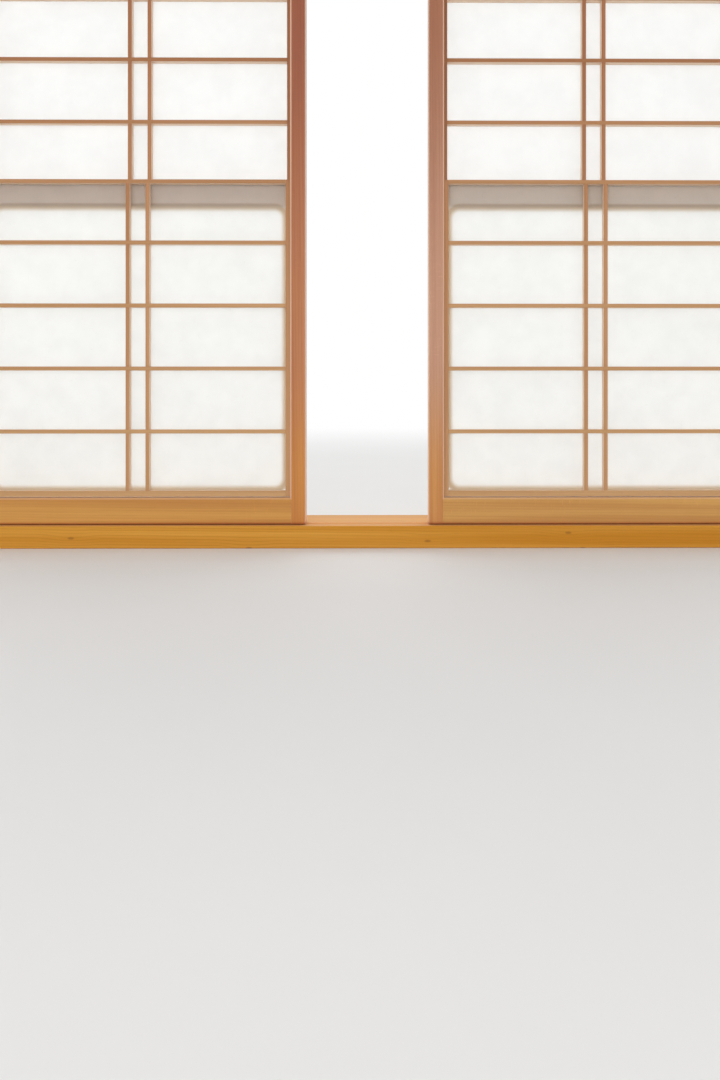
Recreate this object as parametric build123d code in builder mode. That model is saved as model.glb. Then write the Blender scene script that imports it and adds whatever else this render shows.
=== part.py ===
from build123d import *
import os

# A parting pair of snow-viewing shoji in their frame: two paper screens slide left and right
# on one sill, and the small screen in the lower half of each slides up over the upper half.
# +X is to the right, +Y is the outer side where the light comes from, +Z is up.
# The origin is on the floor side of the sill, in the middle of its length and depth.

# Frame
frame_depth = 130.0
sill_height = 40.0
head_height = 40.0
post_width = 36.0
frame_arris = 1.5
track_width = 21.0
sill_groove_depth = 3.0
head_groove_depth = 15.0
lift_room = 4.0
end_clearance = 1.0
post_tenon_length = 15.0
post_tenon_width = 20.0
post_tenon_inset = 18.0

# Leaf
leaf_width = 610.0
leaf_setback = 13.0
leaf_parting = 224.0
leaf_bottom_gap = 2.0
leaf_top_gap = 3.0
tongue_clearance = 0.5
stile_width = 28.0
inner_chamfer = 3.0
edge_chamfer = 1.0
bottom_rail_height = 47.0
middle_rail_height = 41.0
top_rail_height = 40.0
rail_tenon_length = 18.0
rail_tenon_thickness = 10.0
middle_tenon_thickness = 7.0
tenon_shoulder = 6.0
tenon_end_gap = 0.5

# Lattice
row_clear_height = 107.5
end_row_clear_height = 104.0
upper_rows = 5
lower_rows = 5
bar_face = 7.0
bar_depth = 12.5
upright_spacing = 36.0
strip_width = 7.0
stub_length = 4.0
stub_height = 4.0
stub_depth = 6.0
paper_thickness = 0.4
paper_recess = 1.0
screen_paper_recess = 0.5
paper_seat = 6.0
paper_margin = 1.0

# Small screen that slides in the lower half of a leaf
screen_engagement = 4.0
screen_side_gap = 0.5
screen_groove_front = 5.0
screen_play = 0.5
screen_stile_width = 12.5
screen_bottom_rail = 10.5
screen_top_rail = 7.0
screen_rest_gap = 2.0
screen_arris = 0.8
screen_paper_seat = 4.0
screen_tenon_length = 9.0
screen_tenon_thickness = 5.0
screen_tenon_height = 4.5
middle_rail_clearance = 1.0
screen_above_middle_rail = 5.5

# Springs of the small screen
spring_length = 60.0
spring_width = 6.0
spring_gauge = 0.6
spring_recess_depth = 2.5
spring_recess_room = 1.0
spring_touch_gap = 0.3
spring_end_flat = 8.0
spring_from_end = 60.0

# Glass
glass_thickness = 3.0
glass_rebate_width = 8.0
glass_side_gap = 1.0
glass_lip = 4.0
bead_chamfer = 2.0

# Depths of a leaf, measured outward from its front face
screen_thickness = bar_depth + screen_paper_recess
screen_groove_back = screen_groove_front + 2 * screen_play + screen_thickness
screen_front = screen_groove_front + screen_play
screen_back = screen_front + screen_thickness
lattice_front = screen_back + middle_rail_clearance
lattice_back = lattice_front + bar_depth
glass_front = screen_groove_back + glass_lip
bead_front = glass_front + glass_thickness
leaf_thickness = lattice_back + paper_recess
screen_lattice_back = screen_back - screen_paper_recess

# Depths of the frame
leaf_front_y = -frame_depth / 2 + leaf_setback
track_y = leaf_front_y + leaf_thickness / 2
tongue_width = track_width - 2 * tongue_clearance

# Heights
groove_floor_z = sill_height - sill_groove_depth
leaf_bottom_z = sill_height + leaf_bottom_gap
bottom_rail_top = leaf_bottom_z + bottom_rail_height
screen_bottom_z = bottom_rail_top + screen_rest_gap
row_pitch = row_clear_height + bar_face
screen_opening_bottom = screen_bottom_z + screen_bottom_rail
end_rows_height = 2 * end_row_clear_height + bar_face
screen_opening_top = screen_opening_bottom + end_rows_height + (lower_rows - 2) * row_pitch
screen_top_z = screen_opening_top + screen_top_rail
middle_rail_top = screen_top_z - screen_above_middle_rail
middle_rail_bottom = middle_rail_top - middle_rail_height
upper_opening_bottom = middle_rail_top + strip_width
upper_opening_top = upper_opening_bottom + end_rows_height + (upper_rows - 2) * row_pitch
top_rail_bottom = upper_opening_top + strip_width
leaf_top_z = top_rail_bottom + top_rail_height
head_bottom_z = leaf_top_z + leaf_top_gap
head_top_z = head_bottom_z + head_height
tongue_top_z = head_bottom_z + head_groove_depth - lift_room

# Lengths along the frame. The leaves part until the whole doorway of two leaf widths is clear.
clear_length = 4 * leaf_width + 2 * end_clearance
frame_length = clear_length + 2 * post_width
post_middle_x = (clear_length + post_width) / 2

# Places across the left leaf, whose meeting edge is its right-hand one
meeting_edge_x = -leaf_parting / 2
outer_edge_x = meeting_edge_x - leaf_width
leaf_middle_x = meeting_edge_x - leaf_width / 2
meeting_shoulder_x = meeting_edge_x - stile_width
outer_shoulder_x = outer_edge_x + stile_width
rail_length = leaf_width - 2 * stile_width
lattice_width = rail_length - 2 * strip_width
upright_bar_x = [leaf_middle_x - upright_spacing / 2, leaf_middle_x + upright_spacing / 2]
leaf_middle_plane = Plane.YZ.offset(leaf_middle_x)
screen_width = rail_length + 2 * screen_engagement
screen_opening_width = screen_width - 2 * screen_stile_width

os.makedirs("parts", exist_ok=True)


def depth(from_front):
    """Give the Y of a depth that is measured from the leaf's front face."""
    return leaf_front_y + from_front


def bar_heights(opening_bottom, rows):
    """Give the middle height of each cross bar of a lattice, whose two end rows are a little lower."""
    first = opening_bottom + end_row_clear_height + bar_face / 2
    return [first + row_pitch * i for i in range(rows - 1)]


def write(name, piece):
    """Label one piece and write it to a file of the same name."""
    piece.label = name
    export_step(piece, f"parts/{name}.step")


def write_pair(name, piece):
    """Write a piece of the left leaf, and its mirror image on the right leaf."""
    write(f"left_{name}", piece)
    write(f"right_{name}", mirror(piece, about=Plane.YZ))


upper_bar_heights = bar_heights(upper_opening_bottom, upper_rows)
screen_bar_heights = bar_heights(screen_opening_bottom, lower_rows)


# Frame

with BuildPart() as sill:
    with BuildSketch(Plane.YZ.offset(-frame_length / 2)) as sill_section:
        with Locations((0, sill_height / 2)):
            Rectangle(frame_depth, sill_height)
        chamfer(sill_section.vertices(), frame_arris)
    extrude(amount=frame_length)
    with BuildSketch(Plane.XY.offset(sill_height)):
        with Locations((0, track_y)):
            Rectangle(clear_length, track_width)
    extrude(amount=-sill_groove_depth, mode=Mode.SUBTRACT)
    with BuildSketch(Plane.XY.offset(sill_height)):
        with Locations((-post_middle_x, 0), (post_middle_x, 0)):
            Rectangle(post_tenon_width, frame_depth - 2 * post_tenon_inset)
    extrude(amount=-post_tenon_length - tenon_end_gap, mode=Mode.SUBTRACT)
write("sill", sill.part)

with BuildPart() as head:
    with BuildSketch(Plane.YZ.offset(-frame_length / 2)) as head_section:
        with Locations((0, head_bottom_z + head_height / 2)):
            Rectangle(frame_depth, head_height)
        chamfer(head_section.vertices(), frame_arris)
    extrude(amount=frame_length)
    with BuildSketch(Plane.XY.offset(head_bottom_z)):
        with Locations((0, track_y)):
            Rectangle(clear_length, track_width)
    extrude(amount=head_groove_depth, mode=Mode.SUBTRACT)
    with BuildSketch(Plane.XY.offset(head_bottom_z)):
        with Locations((-post_middle_x, 0), (post_middle_x, 0)):
            Rectangle(post_tenon_width, frame_depth - 2 * post_tenon_inset)
    extrude(amount=post_tenon_length + tenon_end_gap, mode=Mode.SUBTRACT)
write("head", head.part)

with BuildPart() as post:
    with BuildSketch(Plane.XY.offset(sill_height)) as post_section:
        with Locations((-post_middle_x, 0)):
            Rectangle(post_width, frame_depth)
        chamfer(post_section.vertices(), frame_arris)
    extrude(amount=head_bottom_z - sill_height)
    with BuildSketch(Plane.XY.offset(sill_height - post_tenon_length)):
        with Locations((-post_middle_x, 0)):
            Rectangle(post_tenon_width, frame_depth - 2 * post_tenon_inset)
    extrude(amount=head_bottom_z - sill_height + 2 * post_tenon_length)
write_pair("post", post.part)


# Stiles of the leaf

bottom_tenon_front = (leaf_thickness - rail_tenon_thickness) / 2
bottom_tenon_height = bottom_rail_height - 2 * tenon_shoulder - glass_rebate_width
top_tenon_height = top_rail_height - 2 * tenon_shoulder
middle_tenon_front = lattice_front + (leaf_thickness - lattice_front - middle_tenon_thickness) / 2
middle_tenon_bottom = middle_rail_bottom + glass_rebate_width + tenon_shoulder
middle_tenon_height = middle_rail_top - paper_seat - tenon_shoulder / 2 - middle_tenon_bottom
glass_bottom_z = bottom_rail_top - glass_rebate_width
glass_top_z = middle_rail_bottom + glass_rebate_width
upper_paper_low = middle_rail_top - paper_seat
upper_paper_high = top_rail_bottom + paper_seat

# Each rail's tenon: its front depth, thickness, lowest height and height
rail_tenons = {
    "bottom": (bottom_tenon_front, rail_tenon_thickness, leaf_bottom_z + tenon_shoulder, bottom_tenon_height),
    "middle": (middle_tenon_front, middle_tenon_thickness, middle_tenon_bottom, middle_tenon_height),
    "top": (bottom_tenon_front, rail_tenon_thickness, top_rail_bottom + tenon_shoulder, top_tenon_height),
}


def make_stile(groove_depth):
    """Make a stile in the meeting stile's place, its groove for the small screen this deep."""
    with BuildPart() as stile:
        with BuildSketch(Plane.XY.offset(leaf_bottom_z)) as stile_section:
            with Locations((meeting_edge_x - stile_width / 2, depth(leaf_thickness / 2))):
                Rectangle(stile_width, leaf_thickness)
            chamfer(stile_section.vertices().group_by(Axis.Y)[0].sort_by(Axis.X)[0], inner_chamfer)
            chamfer(stile_section.vertices().group_by(Axis.Y)[0].sort_by(Axis.X)[-1], edge_chamfer)
        extrude(amount=leaf_top_z - leaf_bottom_z)
        with BuildSketch(Plane.XY.offset(groove_floor_z)):
            with Locations((meeting_edge_x - stile_width / 2, track_y)):
                Rectangle(stile_width, tongue_width)
        extrude(amount=tongue_top_z - groove_floor_z)
        # Cuts that run in from the shoulder: how deep, between which depths and between which heights
        cuts = [
            (groove_depth, screen_groove_front, screen_groove_back, screen_bottom_z, top_rail_bottom),
            (glass_rebate_width, glass_front, leaf_thickness, glass_bottom_z, glass_top_z),
            (paper_seat, lattice_back, leaf_thickness, upper_paper_low, upper_paper_high),
        ]
        for cut_in, cut_front, cut_back, low, high in cuts:
            with BuildSketch(Plane.XY.offset(low)):
                with Locations((meeting_shoulder_x, depth(cut_front))):
                    Rectangle(cut_in, cut_back - cut_front, align=(Align.MIN, Align.MIN))
            extrude(amount=high - low, mode=Mode.SUBTRACT)
        for front, thickness, low, height in rail_tenons.values():
            with BuildSketch(Plane.YZ.offset(meeting_shoulder_x)):
                with Locations((depth(front), low)):
                    Rectangle(thickness, height, align=(Align.MIN, Align.MIN))
            extrude(amount=rail_tenon_length + tenon_end_gap, mode=Mode.SUBTRACT)
    return stile.part


# The outer stile's groove is deeper, so the small screen can be pushed over into it and taken out.
write_pair("meeting_stile", make_stile(screen_engagement + screen_side_gap))
outer_groove_depth = 2 * screen_engagement + screen_side_gap
write_pair("outer_stile", mirror(make_stile(outer_groove_depth), about=leaf_middle_plane))


# Rails of the leaf. A full-thickness rail runs in front of the stile's chamfer and is scribed
# to it, so the two chamfers meet in a mitre.


def scribe_ends():
    """Cut both ends of the rail in hand to the stile, leaving the part that covers its chamfer."""
    with BuildSketch(Plane.XY.offset(leaf_bottom_z - bottom_rail_height)) as waste:
        with BuildLine():
            Polyline(
                (meeting_shoulder_x + inner_chamfer, depth(0)),
                (meeting_shoulder_x, depth(inner_chamfer)),
                (meeting_shoulder_x, depth(leaf_thickness)),
                (meeting_shoulder_x + inner_chamfer, depth(leaf_thickness)),
                close=True,
            )
        make_face()
        mirror(about=leaf_middle_plane)
    extrude(waste.sketch, amount=head_top_z, mode=Mode.SUBTRACT)


def add_tenons(front, thickness, low, height):
    """Add the tenons at both ends of the rail in hand."""
    with BuildSketch(Plane.YZ.offset(outer_shoulder_x - rail_tenon_length)) as tenon:
        with Locations((depth(front), low)):
            Rectangle(thickness, height, align=(Align.MIN, Align.MIN))
    extrude(tenon.sketch, amount=rail_length + 2 * rail_tenon_length)


def add_tongue(low, high):
    """Add the tongue that runs in the sill's or the head's groove."""
    with BuildSketch(Plane.XY.offset(low)) as tongue:
        with Locations((leaf_middle_x, track_y)):
            Rectangle(rail_length, tongue_width)
    extrude(tongue.sketch, amount=high - low)


def cut_rebate(from_depth, low, high):
    """Cut a rebate along the back of the rail in hand, open to the outer side."""
    with BuildSketch(Plane.YZ.offset(outer_shoulder_x)) as rebate:
        with Locations((depth(from_depth), low)):
            Rectangle(leaf_thickness - from_depth, high - low, align=(Align.MIN, Align.MIN))
    extrude(rebate.sketch, amount=rail_length, mode=Mode.SUBTRACT)


with BuildPart() as bottom_rail:
    with BuildSketch(Plane.YZ.offset(outer_shoulder_x - inner_chamfer)) as bottom_section:
        with Locations((depth(0), leaf_bottom_z)):
            Rectangle(leaf_thickness, bottom_rail_height, align=(Align.MIN, Align.MIN))
        chamfer(bottom_section.vertices().group_by(Axis.X)[0].sort_by(Axis.Y)[-1], inner_chamfer)
    extrude(amount=rail_length + 2 * inner_chamfer)
    scribe_ends()
    cut_rebate(glass_front, glass_bottom_z, bottom_rail_top)
    add_tongue(groove_floor_z, leaf_bottom_z)
    add_tenons(*rail_tenons["bottom"])
write_pair("bottom_rail", bottom_rail.part)

with BuildPart() as middle_rail:
    with BuildSketch(Plane.YZ.offset(outer_shoulder_x)):
        with Locations((depth(lattice_front), middle_rail_bottom)):
            Rectangle(leaf_thickness - lattice_front, middle_rail_height, align=(Align.MIN, Align.MIN))
    extrude(amount=rail_length)
    cut_rebate(glass_front, middle_rail_bottom, glass_top_z)
    cut_rebate(lattice_back, upper_paper_low, middle_rail_top)
    add_tenons(*rail_tenons["middle"])
write_pair("middle_rail", middle_rail.part)

with BuildPart() as top_rail:
    with BuildSketch(Plane.YZ.offset(outer_shoulder_x - inner_chamfer)) as top_section:
        with Locations((depth(0), top_rail_bottom)):
            Rectangle(leaf_thickness, top_rail_height, align=(Align.MIN, Align.MIN))
        chamfer(top_section.vertices().group_by(Axis.X)[0].sort_by(Axis.Y)[0], inner_chamfer)
    extrude(amount=rail_length + 2 * inner_chamfer)
    scribe_ends()
    cut_rebate(lattice_back, top_rail_bottom, upper_paper_high)
    add_tongue(leaf_top_z, tongue_top_z)
    add_tenons(*rail_tenons["top"])
write_pair("top_rail", top_rail.part)


# Upper lattice: mitred edge strips, then bars half-lapped where they cross

stub_front = lattice_front + (bar_depth - stub_depth) / 2


def mitred_strip(length, near, width):
    """Draw a strip along the sketch's X, as long as the opening at its near edge, with mitred ends."""
    half = length / 2
    far = near + width
    Polygon((-half, near), (half, near), (half + width, far), (-half - width, far), align=None)


upper_opening_height = upper_opening_top - upper_opening_bottom
upper_opening_middle = (upper_opening_top + upper_opening_bottom) / 2


def front_plane(from_front, height, along=(1, 0, 0)):
    """Give a plane that faces the room, centred on the leaf at a depth and height."""
    return Plane(origin=(leaf_middle_x, depth(from_front), height), x_dir=along, z_dir=(0, -1, 0))


lattice_plane = front_plane(lattice_front, upper_opening_middle)

with BuildPart() as level_edge_strips:
    with BuildSketch(lattice_plane):
        mitred_strip(lattice_width, upper_opening_height / 2, strip_width)
        mirror(about=Plane.XZ)
    extrude(amount=-bar_depth)
    with BuildSketch(lattice_plane.offset(-(bar_depth - stub_depth) / 2)):
        with GridLocations(upright_spacing, 0, 2, 1):
            Rectangle(stub_height, upper_opening_height + 2 * stub_length)
    extrude(amount=-stub_depth, mode=Mode.SUBTRACT)
write_pair("level_edge_strips", level_edge_strips.part)

with BuildPart() as upright_edge_strips:
    with BuildSketch(front_plane(lattice_front, upper_opening_middle, along=(0, 0, 1))):
        mitred_strip(upper_opening_height, lattice_width / 2, strip_width)
        mirror(about=Plane.XZ)
    extrude(amount=-bar_depth)
    with BuildSketch(lattice_plane.offset(-(bar_depth - stub_depth) / 2)):
        with GridLocations(0, row_pitch, 1, upper_rows - 1):
            Rectangle(lattice_width + 2 * stub_length, stub_height)
    extrude(amount=-stub_depth, mode=Mode.SUBTRACT)
write_pair("upright_edge_strips", upright_edge_strips.part)


def make_cross_bar(height, length, front):
    """Make one cross bar with stub tenons, notched behind for the upright bars."""
    with BuildPart() as bar:
        with BuildSketch(Plane.YZ.offset(leaf_middle_x - length / 2)):
            with Locations((depth(front), height)):
                Rectangle(bar_depth, bar_face, align=(Align.MIN, Align.CENTER))
        extrude(amount=length)
        with BuildSketch(Plane.YZ.offset(leaf_middle_x - length / 2 - stub_length)):
            with Locations((depth(front + (bar_depth - stub_depth) / 2), height)):
                Rectangle(stub_depth, stub_height, align=(Align.MIN, Align.CENTER))
        extrude(amount=length + 2 * stub_length)
        with BuildSketch(Plane.XY.offset(height - bar_face / 2)):
            with Locations(*[(x, depth(front + bar_depth / 2)) for x in upright_bar_x]):
                Rectangle(bar_face, bar_depth / 2, align=(Align.CENTER, Align.MIN))
        extrude(amount=bar_face, mode=Mode.SUBTRACT)
    return bar.part


def make_upright_bars(opening_bottom, opening_top, front, crossings):
    """Make the two upright bars with stub tenons, notched in front for the cross bars."""
    with BuildPart() as bars:
        with BuildSketch(Plane.XY.offset(opening_bottom)):
            with Locations(*[(x, depth(front)) for x in upright_bar_x]):
                Rectangle(bar_face, bar_depth, align=(Align.CENTER, Align.MIN))
        extrude(amount=opening_top - opening_bottom)
        with BuildSketch(Plane.XY.offset(opening_bottom - stub_length)):
            with Locations(*[(x, depth(front + (bar_depth - stub_depth) / 2)) for x in upright_bar_x]):
                Rectangle(stub_height, stub_depth, align=(Align.CENTER, Align.MIN))
        extrude(amount=opening_top - opening_bottom + 2 * stub_length)
        for height in crossings:
            with BuildSketch(Plane.XY.offset(height - bar_face / 2)):
                with Locations(*[(x, depth(front)) for x in upright_bar_x]):
                    Rectangle(bar_face, bar_depth / 2, align=(Align.CENTER, Align.MIN))
            extrude(amount=bar_face, mode=Mode.SUBTRACT)
    return bars.part


for number, height in enumerate(upper_bar_heights, start=1):
    write_pair(f"upper_cross_bar_{number}", make_cross_bar(height, lattice_width, lattice_front))
write_pair(
    "upper_upright_bars",
    make_upright_bars(upper_opening_bottom, upper_opening_top, lattice_front, upper_bar_heights),
)

with BuildPart() as upper_paper:
    with BuildSketch(Plane.XZ.offset(-depth(lattice_back))):
        with Locations((leaf_middle_x, upper_opening_middle)):
            Rectangle(
                rail_length + 2 * (paper_seat - paper_margin),
                upper_paper_high - upper_paper_low - 2 * paper_margin,
            )
    extrude(amount=-paper_thickness)
write_pair("upper_paper", upper_paper.part)


# Pane of glass behind the small screen, held from the outer side by mitred beads

glass_opening_middle = (bottom_rail_top + middle_rail_bottom) / 2
glass_opening_height = middle_rail_bottom - bottom_rail_top

with BuildPart() as glass:
    with BuildSketch(Plane.XZ.offset(-depth(glass_front))):
        with Locations((leaf_middle_x, glass_opening_middle)):
            Rectangle(
                rail_length + 2 * (glass_rebate_width - glass_side_gap),
                glass_opening_height + 2 * (glass_rebate_width - glass_side_gap),
            )
    extrude(amount=-glass_thickness)
write_pair("glass", glass.part)

with BuildPart() as level_glazing_beads:
    with BuildSketch(front_plane(bead_front, glass_opening_middle)):
        mitred_strip(rail_length, glass_opening_height / 2, glass_rebate_width)
        mirror(about=Plane.XZ)
    extrude(amount=-(leaf_thickness - bead_front))
    rear_edges = level_glazing_beads.edges().filter_by(Axis.X).group_by(Axis.Y)[-1]
    chamfer(rear_edges.sort_by(Axis.Z)[1:3], bead_chamfer)
write_pair("level_glazing_beads", level_glazing_beads.part)

with BuildPart() as upright_glazing_beads:
    with BuildSketch(front_plane(bead_front, glass_opening_middle, along=(0, 0, 1))):
        mitred_strip(glass_opening_height, rail_length / 2, glass_rebate_width)
        mirror(about=Plane.XZ)
    extrude(amount=-(leaf_thickness - bead_front))
    rear_edges = upright_glazing_beads.edges().filter_by(Axis.Z).group_by(Axis.Y)[-1]
    chamfer(rear_edges.sort_by(Axis.X)[1:3], bead_chamfer)
write_pair("upright_glazing_beads", upright_glazing_beads.part)


# Small screen: thin stiles that run in the leaf's grooves, thin rails and a lattice of its own

screen_edge_x = leaf_middle_x + screen_width / 2
screen_shoulder_x = screen_edge_x - screen_stile_width
screen_stub_front = screen_front + (bar_depth - stub_depth) / 2
screen_tenon_front = screen_front + (bar_depth - screen_tenon_thickness) / 2
screen_bottom_tenon_z = screen_bottom_z + (screen_bottom_rail - screen_tenon_height) / 2
screen_top_tenon_z = screen_opening_top + (screen_top_rail - screen_tenon_height) / 2

with BuildPart() as screen_stile:
    with BuildSketch(Plane.XY.offset(screen_bottom_z)) as screen_section:
        with Locations((screen_edge_x, depth(screen_front))):
            Rectangle(screen_stile_width, screen_thickness, align=(Align.MAX, Align.MIN))
        chamfer(screen_section.vertices().group_by(Axis.Y)[0].sort_by(Axis.X)[0], screen_arris)
    extrude(amount=screen_top_z - screen_bottom_z)
    with BuildSketch(Plane.XY.offset(screen_bottom_z + paper_margin)):
        with Locations((screen_shoulder_x, depth(screen_lattice_back))):
            Rectangle(screen_paper_seat, screen_paper_recess, align=(Align.MIN, Align.MIN))
    extrude(amount=screen_top_z - screen_bottom_z - 2 * paper_margin, mode=Mode.SUBTRACT)
    for low in (screen_bottom_tenon_z, screen_top_tenon_z):
        with BuildSketch(Plane.YZ.offset(screen_shoulder_x)):
            with Locations((depth(screen_tenon_front), low)):
                Rectangle(screen_tenon_thickness, screen_tenon_height, align=(Align.MIN, Align.MIN))
        extrude(amount=screen_tenon_length, mode=Mode.SUBTRACT)
    for height in screen_bar_heights:
        with BuildSketch(Plane.YZ.offset(screen_shoulder_x)):
            with Locations((depth(screen_stub_front), height)):
                Rectangle(stub_depth, stub_height, align=(Align.MIN, Align.CENTER))
        extrude(amount=stub_length, mode=Mode.SUBTRACT)
write_pair("screen_meeting_stile", screen_stile.part)


def make_screen_rail(low, height, tenon_low, bars_from, paper_low):
    """Make a rail of the small screen: tenons, mortises for the upright bars and a paper seat."""
    with BuildPart() as rail:
        with BuildSketch(Plane.YZ.offset(leaf_middle_x - screen_opening_width / 2)):
            with Locations((depth(screen_front), low)):
                Rectangle(screen_thickness, height, align=(Align.MIN, Align.MIN))
        extrude(amount=screen_opening_width)
        with BuildSketch(Plane.YZ.offset(leaf_middle_x - screen_opening_width / 2)):
            with Locations((depth(screen_lattice_back), paper_low)):
                Rectangle(screen_paper_recess, height - paper_margin, align=(Align.MIN, Align.MIN))
        extrude(amount=screen_opening_width, mode=Mode.SUBTRACT)
        with BuildSketch(Plane.YZ.offset(leaf_middle_x - screen_opening_width / 2 - screen_tenon_length)):
            with Locations((depth(screen_tenon_front), tenon_low)):
                Rectangle(screen_tenon_thickness, screen_tenon_height, align=(Align.MIN, Align.MIN))
        extrude(amount=screen_opening_width + 2 * screen_tenon_length)
        with BuildSketch(Plane.XY.offset(bars_from)):
            with Locations(*[(x, depth(screen_stub_front)) for x in upright_bar_x]):
                Rectangle(stub_height, stub_depth, align=(Align.CENTER, Align.MIN))
        extrude(amount=stub_length, mode=Mode.SUBTRACT)
    return rail.part


write_pair(
    "screen_bottom_rail",
    make_screen_rail(
        screen_bottom_z,
        screen_bottom_rail,
        screen_bottom_tenon_z,
        screen_opening_bottom - stub_length,
        screen_bottom_z + paper_margin,
    ),
)
write_pair(
    "screen_top_rail",
    make_screen_rail(
        screen_opening_top, screen_top_rail, screen_top_tenon_z, screen_opening_top, screen_opening_top
    ),
)

for number, height in enumerate(screen_bar_heights, start=1):
    write_pair(f"screen_cross_bar_{number}", make_cross_bar(height, screen_opening_width, screen_front))
write_pair(
    "screen_upright_bars",
    make_upright_bars(screen_opening_bottom, screen_opening_top, screen_front, screen_bar_heights),
)

with BuildPart() as screen_paper:
    with BuildSketch(Plane.XZ.offset(-depth(screen_lattice_back))):
        with Locations((leaf_middle_x, (screen_bottom_z + screen_top_z) / 2)):
            Rectangle(
                screen_opening_width + 2 * (screen_paper_seat - paper_margin),
                screen_top_z - screen_bottom_z - 4 * paper_margin,
            )
    extrude(amount=-paper_thickness)
write_pair("screen_paper", screen_paper.part)


# Bow springs let into the edge of the small screen's outer stile. They bear on the groove's
# floor and hold the small screen at any height.

spring_middles = [screen_bottom_z + spring_from_end, screen_top_z - spring_from_end]
outer_screen_edge_x = leaf_middle_x - screen_width / 2
outer_groove_floor_x = outer_shoulder_x - outer_groove_depth
spring_middle_y = depth(screen_front + bar_depth / 2)
spring_recess_length = spring_length + 2 * spring_recess_room

screen_outer_blank = mirror(screen_stile.part, about=leaf_middle_plane)

with BuildPart() as screen_outer_stile:
    add(screen_outer_blank)
    for height in spring_middles:
        with BuildSketch(Plane.YZ.offset(outer_screen_edge_x)):
            with Locations((spring_middle_y, height)):
                Rectangle(spring_width + 2 * spring_touch_gap, spring_recess_length)
        extrude(amount=spring_recess_depth, mode=Mode.SUBTRACT)
write_pair("screen_outer_stile", screen_outer_stile.part)

spring_foot_x = outer_screen_edge_x + spring_recess_depth
spring_face_x = spring_foot_x - spring_gauge
spring_crest_x = outer_groove_floor_x + spring_touch_gap

with BuildPart() as screen_springs:
    for height in spring_middles:
        with BuildSketch(Plane.XZ.offset(-spring_middle_y - spring_width / 2)) as spring_side:
            with BuildLine() as spring_line:
                end = spring_length / 2
                bend = end - spring_end_flat
                Line((spring_foot_x, height - end), (spring_foot_x, height - bend))
                ThreePointArc(
                    (spring_foot_x, height - bend),
                    (spring_crest_x + spring_gauge, height),
                    (spring_foot_x, height + bend),
                )
                Line((spring_foot_x, height + bend), (spring_foot_x, height + end))
                Line((spring_foot_x, height + end), (spring_face_x, height + end))
                Line((spring_face_x, height + end), (spring_face_x, height + bend))
                ThreePointArc(
                    (spring_face_x, height + bend),
                    (spring_crest_x, height),
                    (spring_face_x, height - bend),
                )
                Line((spring_face_x, height - bend), (spring_face_x, height - end))
                Line((spring_face_x, height - end), (spring_foot_x, height - end))
            make_face()
        extrude(amount=spring_width)
write_pair("screen_springs", screen_springs.part)
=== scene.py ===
"""Dresses a parting pair of snow-viewing shoji, with their small lifting screens, in their frame.

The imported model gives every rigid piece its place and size. This script softens the timber's arrises,
gives each piece its finish, and sets up a plain room with the light behind the paper. Lengths are in
metres, in the model's own axes: +X to the right seen from the room, +Y to the outer side, +Z up.
"""

import logging
import math
from dataclasses import dataclass, field
from enum import Enum

import bpy
from mathutils import Euler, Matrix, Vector


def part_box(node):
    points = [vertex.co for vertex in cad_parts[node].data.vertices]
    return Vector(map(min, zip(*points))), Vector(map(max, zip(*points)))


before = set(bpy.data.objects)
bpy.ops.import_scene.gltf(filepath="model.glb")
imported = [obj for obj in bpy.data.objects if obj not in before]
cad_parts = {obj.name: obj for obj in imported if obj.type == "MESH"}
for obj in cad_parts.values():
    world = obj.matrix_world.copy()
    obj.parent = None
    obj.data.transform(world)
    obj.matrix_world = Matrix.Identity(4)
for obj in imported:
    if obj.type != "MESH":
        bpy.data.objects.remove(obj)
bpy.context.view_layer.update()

LOG = logging.getLogger("shoji")
MM = 0.001

Colour = tuple[float, float, float]
Point = tuple[float, float, float]
GrainScale = tuple[float, float]  # across the grain, along the grain
Socket = bpy.types.NodeSocket

WHITE: Colour = (1.0, 1.0, 1.0)


class Side(Enum):
    """The two leaves of the pair, seen from the room."""

    LEFT = "left"
    RIGHT = "right"


class Grain(Enum):
    """The direction in which a member's grain runs, by the number of its axis."""

    LEVEL = 0
    UPRIGHT = 2

    def stretched(self, tree: "ShaderTree", place: Socket, scale: GrainScale, shift: float = 0.0) -> Socket:
        """Stretch the place so that a pattern follows the grain.

        Args:
            tree: The material's node tree.
            place: The surface point.
            scale: The pattern's scale across the grain and along it.
            shift: How far the pattern is moved, so that no two patterns match.

        Returns:
            The new place.
        """
        across, along = scale
        factors = [across] * 3
        factors[self.value] = along
        return tree.scaled(place, tuple(factors), (shift, shift * 0.7, shift * 1.3))


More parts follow.
